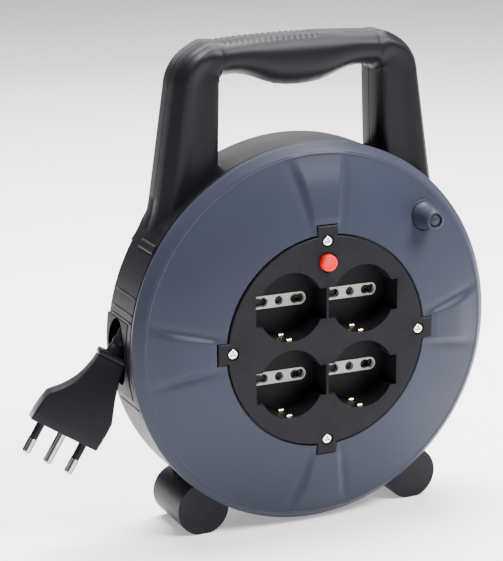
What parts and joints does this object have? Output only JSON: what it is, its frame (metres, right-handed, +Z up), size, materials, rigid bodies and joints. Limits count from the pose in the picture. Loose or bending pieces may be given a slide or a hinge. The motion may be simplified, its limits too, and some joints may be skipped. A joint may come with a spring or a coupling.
{
  "type": "extension cord reel",
  "caption": "Cable reel: fixed casing with carrying handle and round feet, turning drum with winding knob, mains outlets and thermal cut-out, wound cable and plug.",
  "frame": {"origin": "on the floor under the middle of the casing, between the two feet", "axes": "+Z up towards the handle's grip, +X to the right for a person facing the outlets, +Y from the outlets to the back"},
  "size_m": [0.2722, 0.0684, 0.2748],
  "materials": {
    "casing_black": "satin, fine moulded grain",
    "guide_black": "satin",
    "disc_blue": "satin, slate blue grey",
    "hub_black": "satin",
    "plate_black": "satin",
    "knob_blue": "satin, slate blue grey",
    "insert_grey": "satin, pale grey",
    "shutter_dark": "satin",
    "zinc_steel": "zinc plated",
    "contact_brass": "bright",
    "reset_red": "gloss",
    "cutout_body": "gloss",
    "spindle_grey": "satin",
    "cable_black": "satin PVC sheath",
    "plug_black": "fine orange-peel",
    "pin_nickel": "nickel plated brass",
    "core_brown": "satin",
    "core_blue": "satin",
    "core_green": "satin"
  },
  "bodies": {
    "housing": {"housing_front": "casing_black", "housing_rear": "casing_black", "housing_screws": "zinc_steel", "cable_guide": "guide_black", "spindle": "spindle_grey", "spindle_washer": "zinc_steel", "spindle_screw": "zinc_steel", "rear_screw": "zinc_steel", "cable_lead": "cable_black", "plug_body": "plug_black", "plug_pin_live": "pin_nickel", "plug_pin_earth": "pin_nickel", "plug_pin_neutral": "pin_nickel", "pin_sleeves": "plug_black"},
    "drum": {"front_disc": "disc_blue", "drum_hub": "hub_black", "socket_plate": "plate_black", "plate_screws": "zinc_steel", "socket_strip_1": "insert_grey", "socket_strip_2": "insert_grey", "socket_strip_3": "insert_grey", "socket_strip_4": "insert_grey", "earth_clip_1": "contact_brass", "earth_clip_2": "contact_brass", "earth_clip_3": "contact_brass", "earth_clip_4": "contact_brass", "live_busbar": "contact_brass", "neutral_busbar": "contact_brass", "earth_busbar": "contact_brass", "contact_cover": "hub_black", "cover_screws": "zinc_steel", "thermal_cutout": "cutout_body", "reset_spring": "zinc_steel", "knob_pin": "knob_blue", "cable_end": "cable_black", "cord_clamp": "hub_black", "clamp_base": "hub_black", "clamp_screws": "zinc_steel", "live_core": "core_brown", "neutral_core": "core_blue", "earth_core": "core_green", "cable_winding": "cable_black"},
    "crank_knob": {"winding_knob": "knob_blue"},
    "reset_key": {"reset_button": "reset_red"},
    "shutter_slide_1": {"shutter_1": "shutter_dark"},
    "shutter_slide_2": {"shutter_2": "shutter_dark"},
    "shutter_slide_3": {"shutter_3": "shutter_dark"},
    "shutter_slide_4": {"shutter_4": "shutter_dark"}
  },
  "joints": [
    {"name": "drum_spin", "type": "hinge", "parent": "housing", "child": "drum", "pos_m": [0, -0.02775, 0.1102], "axis": [0, 1, 0], "continuous": true},
    {"name": "knob_spin", "type": "hinge", "parent": "drum", "child": "crank_knob", "pos_m": [0.0633, -0.02775, 0.173], "axis": [0, 1, 0], "continuous": true},
    {"name": "reset_press", "type": "slide", "parent": "drum", "child": "reset_key", "axis": [0, 1, 0], "range_m": [0, 0.0022], "stiffness_N_per_m": 600, "springref_m": -0.002, "deforming": ["reset_spring"]},
    {"name": "shutter_1_slide", "type": "slide", "parent": "drum", "child": "shutter_slide_1", "axis": [1, 0, 0], "range_m": [0, 0.0044], "stiffness_N_per_m": 300, "springref_m": -0.002},
    {"name": "shutter_2_slide", "type": "slide", "parent": "drum", "child": "shutter_slide_2", "axis": [1, 0, 0], "range_m": [0, 0.0044], "stiffness_N_per_m": 300, "springref_m": -0.002},
    {"name": "shutter_3_slide", "type": "slide", "parent": "drum", "child": "shutter_slide_3", "axis": [1, 0, 0], "range_m": [0, 0.0044], "stiffness_N_per_m": 300, "springref_m": -0.002},
    {"name": "shutter_4_slide", "type": "slide", "parent": "drum", "child": "shutter_slide_4", "axis": [1, 0, 0], "range_m": [0, 0.0044], "stiffness_N_per_m": 300, "springref_m": -0.002}
  ]
}
